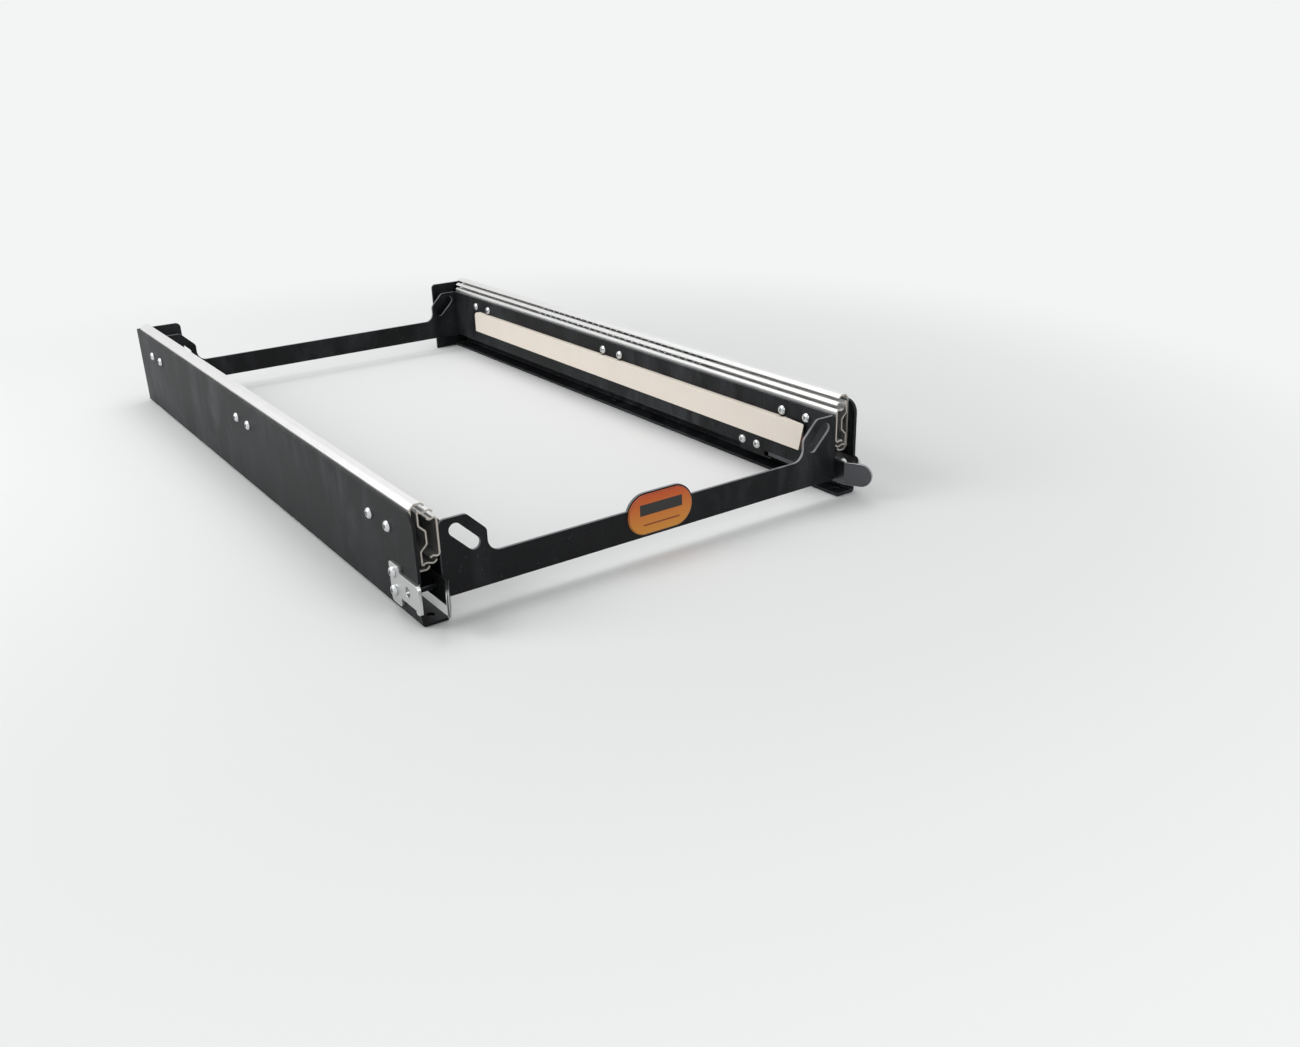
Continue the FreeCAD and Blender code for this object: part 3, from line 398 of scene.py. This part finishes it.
def both_sides(stem):
    """Name the left and the right piece."""
    return [f"{stem}_{side}" for side in SIDES]


def welded(mesh):
    """Open a mesh of loose triangles with its shared corners merged."""
    work = bmesh.new()
    work.from_mesh(mesh)
    bmesh.ops.remove_doubles(work, verts=work.verts, dist=WELD_MM * MM)
    return work


def is_ear_corner(edge):
    """Tell an edge that runs through the plate along Y and turns by about 45 degrees."""
    run = (edge.verts[0].co - edge.verts[1].co).normalized()
    low, high = (math.radians(angle) for angle in EAR_TURN_DEG)
    return abs(run.y) > ALONG_Y and low < edge.calc_face_angle(0) < high


def round_edges(work, edges, radius_mm, segments, slot=-1):
    """Bevel edges; a slot of -1 keeps the material of the faces beside them."""
    bmesh.ops.bevel(
        work, geom=edges, offset=radius_mm * MM, offset_type="OFFSET", segments=segments,
        profile=0.5, affect="EDGES", material=slot, clamp_overlap=True,
    )


def dressed(node, material, edge_mm, segments=2, sharp_deg=28, end_material=None,
            edge_material=None, cut_faces=False, corner_mm=0):
    """Copy a CAD piece, round its sharp edges and give it a finish."""
    mesh = nodes[node].data.copy()
    if "custom_normal" in mesh.attributes:
        mesh.attributes.remove(mesh.attributes["custom_normal"])
    mesh.materials.clear()
    for finish in (material, end_material or edge_material or material):
        mesh.materials.append(finish)
    work = welded(mesh)
    for face in work.faces:
        face.material_index = 0
    bmesh.ops.dissolve_limit(
        work, angle_limit=math.radians(FLAT_DEG), use_dissolve_boundaries=False,
        verts=work.verts, edges=work.edges, delimit={"NORMAL"},
    )
    corners = [edge for edge in work.edges if corner_mm and is_ear_corner(edge)]
    if corners:
        round_edges(work, corners, corner_mm, EAR_SEGMENTS)
    rims = [
        edge for edge in work.edges
        if len(edge.link_faces) == 2 and edge.calc_face_angle(0) > math.radians(sharp_deg)
    ]
    # An edge material paints a highlight on the rounded edges.
    round_edges(work, rims, edge_mm, segments, 1 if edge_material else -1)
    for face in work.faces:
        face.smooth = True
        # Y-facing faces take the end material: sheared steel on the members, painted shade on the
        # strips' ends.
        is_end = end_material and abs(face.normal.y) > END_FACE
        # Cut faces take the edge material, which paints a highlight on the end plates' cut faces.
        is_cut = cut_faces and abs(face.normal.y) < CUT_FACE
        if is_end or is_cut:
            face.material_index = 1
    work.to_mesh(mesh)
    work.free()
    piece = bpy.data.objects.new(f"{node}_dressed", mesh)
    bpy.context.scene.collection.objects.link(piece)
    mesh.set_sharp_from_angle(angle=math.radians(SHADING_DEG))
    flats = piece.modifiers.new("flat_faces_first", "WEIGHTED_NORMAL")
    flats.weight = 100
    flats.keep_sharp = True
    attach(piece, nodes[node]["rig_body"])
    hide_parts(node)


# The rounded edges of these sheets, and the cut faces of the end plates, take the painted edge
# highlight.
for node in ("tray_front", "tray_rear"):
    dressed(node, powder_coat, 0.35, edge_material=painted_edge_highlight, cut_faces=True, corner_mm=5.5)
for node in both_sides("tray_side") + both_sides("rail"):
    dressed(node, powder_coat, 0.35, edge_material=painted_edge_highlight)
for node in both_sides("lever_bracket"):
    dressed(node, powder_coat, 0.3)
print("black sheet pieces dressed")

# %% [markdown]
# The slide members get a finer edge, because rolled strip is thinner and only its ends are cut.

# %% Slide members, with duller sheared ends
for stem in ("outer_member", "middle_member", "inner_member"):
    for node in both_sides(stem):
        dressed(node, rolled_zinc, 0.15, segments=1, sharp_deg=50, end_material=sheared_steel)
print("slide members dressed")

# %% Keepers, levers, pins and wear strips
for node in both_sides("keeper"):
    dressed(node, punched_zinc, 0.3)
for node in both_sides("lever"):
    # The lever's rounded edges take the brighter punched zinc as a painted highlight, the bright
    # crescent along its edge.
    dressed(node, lever_zinc_painted_dark, 0.3, edge_material=punched_zinc)
for node in both_sides("lock_pin") + both_sides("hinge_pin"):
    dressed(node, black_pin, 0.2)
# The strips' Y-facing ends take a darker grey that is painted shade.
for node in both_sides("wear_strip"):
    dressed(node, cream_plastic, 0.4, end_material=plastic_end_shade_and_smears)
print("lock pieces and strips dressed")

# %% [markdown]
# ## Button-head screws
#
# The slides are held by M5 button-head screws: a domed head 9.5 mm across with a hexagon socket.
# A lathe shape alone has no hexagon, so the mesh starts as the hexagon of the socket's floor. Its
# rim is drawn up to the top of the head, bridged to a circle, and drawn outwards and down ring by
# ring.

# %% One screw, with its head towards +Z and its seat at the origin
SOCKET_FLATS_MM = 3.0
SOCKET_DEPTH_MM = 1.6
SOCKET_LIP_MM = 2.15
HEAD_HEIGHT_MM = 2.75
HEAD_RINGS_MM = [
    (2.9, 2.62), (3.6, 2.25), (4.2, 1.68), (4.6, 0.98), (4.75, 0.45), (4.7, 0.08), (4.55, 0),
]
SHANK_MM = 2.5
TIP_MM = 2.1
TIP_TAPER_MM = 0.5


def smooth_all(work):
    """Shade every face smooth."""
    for face in work.faces:
        face.smooth = True


def open_rim(work):
    """List the edges that bound only one face."""
    return [edge for edge in work.edges if edge.is_boundary]


def draw_rim(work, radius, height):
    """Extrude the open rim to a new ring, given by its radius and height in mm."""
    made = bmesh.ops.extrude_edge_only(work, edges=open_rim(work))["geom"]
    for vert in [item for item in made if isinstance(item, bmesh.types.BMVert)]:
        flat = vert.co.xy.normalized() * radius * MM
        vert.co = (flat.x, flat.y, height * MM)


def button_screw(shank_mm):
    """Make the mesh of a screw whose shank is this long."""
    work = bmesh.new()
    corner = SOCKET_FLATS_MM / 2 / math.cos(math.pi / 6)
    bmesh.ops.create_circle(
        work, cap_ends=True, segments=6, radius=corner * MM,
        matrix=Matrix.Translation((0, 0, (HEAD_HEIGHT_MM - SOCKET_DEPTH_MM) * MM)),
    )
    bmesh.ops.subdivide_edges(work, edges=work.edges[:], cuts=3)
    walls = bmesh.ops.extrude_edge_only(work, edges=open_rim(work))["geom"]
    lip = [item for item in walls if isinstance(item, bmesh.types.BMVert)]
    bmesh.ops.translate(work, verts=lip, vec=(0, 0, SOCKET_DEPTH_MM * MM))
    rings = [(SOCKET_LIP_MM, HEAD_HEIGHT_MM), *HEAD_RINGS_MM, (SHANK_MM, 0),
             (SHANK_MM, TIP_TAPER_MM - shank_mm), (TIP_MM, -shank_mm)]
    for radius, height in rings:
        draw_rim(work, radius, height)
    bmesh.ops.contextual_create(work, geom=open_rim(work))
    bmesh.ops.recalc_face_normals(work, faces=work.faces)
    smooth_all(work)
    mesh = bpy.data.meshes.new("button_screw")
    work.to_mesh(mesh)
    work.free()
    return mesh


print("screw faces:", len(button_screw(4).polygons))

# %% [markdown]
# Each screw node of the CAD model is a group of loose solids. Their centres say where the screws
# go, and a head points away from the middle on the rails and towards the middle on the tray. Each
# socket is turned a little further than the last, as driven screws are.

# %% Place the screws
HEADS_POINT_OUT = {"rail_screws": 1, "keeper_screws": 1, "tray_screws": -1, "bracket_screws": -1}
SOCKET_TURN = 0.7


def solids_of(node):
    """List the lowest and highest corner of each loose solid of a CAD piece."""
    work = welded(nodes[node].data)
    waiting = set(work.verts)
    boxes = []
    while waiting:
        found = [waiting.pop()]
        for vert in found:
            for edge in vert.link_edges:
                other = edge.other_vert(vert)
                if other in waiting:
                    waiting.remove(other)
                    found.append(other)
        boxes.append([
            Vector([pick(vert.co[axis] for vert in found) for axis in range(3)])
            for pick in (min, max)
        ])
    work.free()
    return boxes


def finished(name, work, materials, like, smooth_deg=40):
    """Turn a bmesh into a piece that rides with a CAD piece and stands for it."""
    mesh = bpy.data.meshes.new(name)
    work.to_mesh(mesh)
    work.free()
    for material in materials:
        mesh.materials.append(material)
    mesh.set_sharp_from_angle(angle=math.radians(smooth_deg))
    piece = bpy.data.objects.new(name, mesh)
    bpy.context.scene.collection.objects.link(piece)
    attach(piece, nodes[like]["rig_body"])
    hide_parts(like)
    return piece


for stem, outwards in HEADS_POINT_OUT.items():
    for side, sign in SIDES.items():
        node = f"{stem}_{side}"
        heading = sign * outwards
        work = bmesh.new()
        for i, (low, high) in enumerate(solids_of(node)):
            screw = button_screw((high.x - low.x) / MM - HEAD_HEIGHT_MM)
            seat = high.x - HEAD_HEIGHT_MM * MM if heading > 0 else low.x + HEAD_HEIGHT_MM * MM
            aim = Matrix.Rotation(heading * math.pi / 2, 4, "Y")
            turn = Matrix.Rotation(i * SOCKET_TURN, 4, "Z")
            put = Matrix.Translation((seat, (low.y + high.y) / 2, (low.z + high.z) / 2))
            before = set(work.verts)
            work.from_mesh(screw)
            new_verts = [vert for vert in work.verts if vert not in before]
            bmesh.ops.transform(work, matrix=put @ aim @ turn, verts=new_verts)
        finished(f"{node}_turned", work, [screw_zinc], node)
print("screws placed")

# %% [markdown]
# ## Ball cages
#
# A cage is a thin steel strip, rolled to the slide's section, with a notch for each ball in the
# edge of both flanges. The CAD model has eight balls a row, to stay light. The real one has about
# 27, some 12 mm apart, and their notches show from above as a row of dark dashes. The strip starts
# as a few points of its section, is extruded bay by bay along the slide, loses the faces where a
# notch is, and then gets its thickness from a Solidify modifier.
# Sections and rows are given in mm inwards from the rail's face and upwards from the slide's
# middle.

# %% Cages and balls
RAIL_FACE_MM = 214.5
SLIDE_HEIGHT_MM = 66.0
BALLS_IN_ROW = 27
CAGE_SHEET_MM = 0.6
NOTCH_GAP_MM = 0.15
FLANGE_EDGE_MM = 0.1
cage_low, cage_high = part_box("outer_cage_right")
CAGES = {
    "outer": {
        "half_section": [
            (10.3, 22.5), (5.7, 22.5), (5.0, 22.4), (4.4, 22.0), (3.3, 20.9), (3.1, 20.2),
        ],
        "row": (8.4, 22.5),
        "ball": 2.35,
    },
    "inner": {
        "half_section": [
            (15.4, 17.4), (10.8, 17.4), (8.6, 17.4), (8.1, 17.0), (8.0, 16.4), (8.0, 10.6),
            (12.4, 6.2),
        ],
        "row": (13.4, 17.4),
        "ball": 2.4,
    },
}


def cage_strip(half_section, ball, pitch, sign):
    """Extrude a cage's section along the slide and cut a notch for each ball."""
    whole = half_section + [(inward, -height) for inward, height in reversed(half_section)]
    reach = half_section[0][0] - FLANGE_EDGE_MM
    notch = 2 * (ball + NOTCH_GAP_MM) * MM
    work = bmesh.new()
    chain = [
        work.verts.new(
            (sign * (RAIL_FACE_MM - inward) * MM, cage_low.y, (SLIDE_HEIGHT_MM + height) * MM)
        )
        for inward, height in whole
    ]
    edges = [work.edges.new(pair) for pair in zip(chain, chain[1:])]
    bays = [(pitch - notch) / 2] + [notch, pitch - notch] * BALLS_IN_ROW
    bays[-1] = bays[0]
    notched = []
    for i, bay in enumerate(bays):
        made = bmesh.ops.extrude_edge_only(work, edges=edges)["geom"]
        edges = [
            item for item in made if isinstance(item, bmesh.types.BMEdge)
            and all(vert.co.y == item.verts[0].co.y for vert in item.verts)
            and len(item.link_faces) == 1
        ]
        ring = {vert for edge in edges for vert in edge.verts}
        bmesh.ops.translate(work, verts=list(ring), vec=(0, bay, 0))
        if i % 2:
            notched += [
                item for item in made if isinstance(item, bmesh.types.BMFace)
                and max(RAIL_FACE_MM - abs(vert.co.x) / MM for vert in item.verts) > reach
            ]
    bmesh.ops.delete(work, geom=notched, context="FACES")
    return work


def ball_rows(row, ball, pitch, sign):
    """Make the upper and the lower row of balls of a cage."""
    inward, height = row
    work = bmesh.new()
    for above in (height, -height):
        for i in range(BALLS_IN_ROW):
            centre = Vector((
                sign * (RAIL_FACE_MM - inward) * MM,
                cage_low.y + pitch * (i + 0.5),
                (SLIDE_HEIGHT_MM + above) * MM,
            ))
            bmesh.ops.create_icosphere(
                work, subdivisions=2, radius=ball * MM, matrix=Matrix.Translation(centre)
            )
    smooth_all(work)
    return work


pitch = (cage_high.y - cage_low.y) / BALLS_IN_ROW
for name, cage in CAGES.items():
    for side, sign in SIDES.items():
        work = cage_strip(cage["half_section"], cage["ball"], pitch, sign)
        strip = finished(f"{name}_cage_{side}_strip", work, [cage_steel], f"{name}_cage_{side}")
        sheet = strip.modifiers.new("sheet", "SOLIDIFY")
        sheet.thickness = CAGE_SHEET_MM * MM
        sheet.offset = 0
        work = ball_rows(cage["row"], cage["ball"], pitch, sign)
        balls = f"{name}_balls_{side}"
        finished(f"{balls}_full_rows", work, [ground_steel], balls, 180)
print("balls:", BALLS_IN_ROW * 2 * len(CAGES) * len(SIDES))

# %% [markdown]
# ## The badge
#
# The badge is a stadium of printed foil under a dome of clear resin. It starts as a circle whose
# two halves are moved apart. Its face is drawn forwards and inset ring by ring, which gives the
# low dome, and one narrow ring takes the dark rim line.

# %% Badge
BADGE_RADIUS_MM = 17.3
BADGE_PLATE_MM = 0.9
MIDDLE_MM = 0.1
DOME_RINGS_MM = [(0.35, 0.3), (0.45, 0.2), (1.1, 0.2), (1.6, 0.15), (3.0, 0.15), (4.5, 0.08)]
RIM_RING = 1
work = bmesh.new()
bmesh.ops.create_circle(
    work, cap_ends=True, segments=64, radius=BADGE_RADIUS_MM * MM,
    matrix=Matrix.Translation((badge_middle.x, badge_high.y, badge_middle.z))
    @ Matrix.Rotation(math.pi / 2, 4, "X"),
)
apart = badge_size.x / 2 - BADGE_RADIUS_MM * MM
for vert in work.verts:
    if abs(vert.co.x - badge_middle.x) > MIDDLE_MM * MM:
        vert.co.x += math.copysign(apart, vert.co.x - badge_middle.x)
bmesh.ops.recalc_face_normals(work, faces=work.faces)
front = bmesh.ops.extrude_face_region(work, geom=work.faces[:], use_keep_orig=True)["geom"]
face = next(item for item in front if isinstance(item, bmesh.types.BMFace))
bmesh.ops.translate(work, verts=face.verts, vec=(0, -BADGE_PLATE_MM * MM, 0))
bmesh.ops.recalc_face_normals(work, faces=work.faces)
for i, (inset, rise) in enumerate(DOME_RINGS_MM):
    ring = bmesh.ops.inset_region(
        work, faces=[face], thickness=inset * MM, depth=rise * MM, use_even_offset=True,
    )["faces"]
    for part in ring:
        part.material_index = 1 if i == RIM_RING else 0
smooth_all(work)
finished("badge_dome", work, [badge_foil, rim_print], "badge", 50)
print("badge rings:", len(DOME_RINGS_MM))

# %% [markdown]
# ## Floor and light
#
# The object stands on a plain pale floor in soft studio light. The floor takes the object's shadow
# nearby and fades to the white of the backdrop further off, so no horizon shows.

# %% Floor
FLOOR_RADIUS_M = 6.0
FLOOR_DROP_M = 0.0005
FADE_FROM_M = 0.4
FADE_TO_M = 1.05
BACKDROP = "#F3F4F4"
floor_work = bmesh.new()
bmesh.ops.create_circle(floor_work, cap_ends=True, segments=96, radius=FLOOR_RADIUS_M)
floor_mesh = bpy.data.meshes.new("floor")
floor_work.to_mesh(floor_mesh)
floor_work.free()
floor = bpy.data.objects.new("floor", floor_mesh)
bpy.context.scene.collection.objects.link(floor)
floor.location.z = -FLOOR_DROP_M
pale_floor, tree, shader, place = finish_for("pale_floor")
join(tree, shader, Base_Color=tone("#E9EAEA"), Roughness=0.9, Specular_IOR_Level=0.1)
away = add(tree, "ShaderNodeVectorMath", {"operation": "LENGTH"}, i0=place)
fade = add(tree, "ShaderNodeMapRange", {"interpolation_type": "SMOOTHSTEP"},
           Value=away.outputs[1], i1=FADE_FROM_M, i2=FADE_TO_M)
haze = add(tree, "ShaderNodeEmission", None, Color=tone(BACKDROP), Strength=1.0)
mixed = add(tree, "ShaderNodeMixShader", None, i0=fade.outputs[0], i1=shader.outputs[0],
            i2=haze.outputs[0])
join(tree, tree.nodes["Material Output"], Surface=mixed.outputs[0])
floor_mesh.materials.append(pale_floor)
print("floor laid")

# %% [markdown]
# The world is white to the camera and in reflections, and softer as a light.

# %% World
SKY_LIGHT = 0.38
world = bpy.data.worlds.new("studio")
bpy.context.scene.world = world
world.use_nodes = True
tree = world.node_tree
rays = tree.nodes.new("ShaderNodeLightPath").outputs
seen = maths(tree, "MAXIMUM", rays["Is Camera Ray"], rays["Is Glossy Ray"])
shown = maths(tree, "MAXIMUM", seen, rays["Is Transmission Ray"])
join(tree, tree.nodes["Background"], Color=tone(BACKDROP),
     Strength=ramp(tree, shown, i3=SKY_LIGHT, i4=1.0))
print("world set")

# %% [markdown]
# Three soft boxes light the object: a large one to the left, as a window would, one overhead that
# brightens the tops of the slides, and a weak one in front that fills the end plates.

# %% Lamps
def soft_lamp(name, stand, target, size_m, watts):
    """A square soft box that shines from its stand towards a target."""
    light = bpy.data.lights.new(name, "AREA")
    light.size = size_m
    light.energy = watts
    lamp = bpy.data.objects.new(name, light)
    lamp.location = stand
    lamp.rotation_euler = (Vector(target) - Vector(stand)).to_track_quat("-Z", "Y").to_euler()
    bpy.context.scene.collection.objects.link(lamp)


soft_lamp("left_window", (-1.6, 0.5, 1.1), (0, 0, 0.05), size_m=1.2, watts=20)
soft_lamp("overhead", (0.2, 0.3, 1.9), (0, 0, 0.05), size_m=1.6, watts=18)
soft_lamp("front_fill", (0.3, -1.9, 1.0), (0, -0.2, 0.05), size_m=1.0, watts=5)
bpy.context.scene.view_settings.view_transform = "Standard"
print("lamps set")
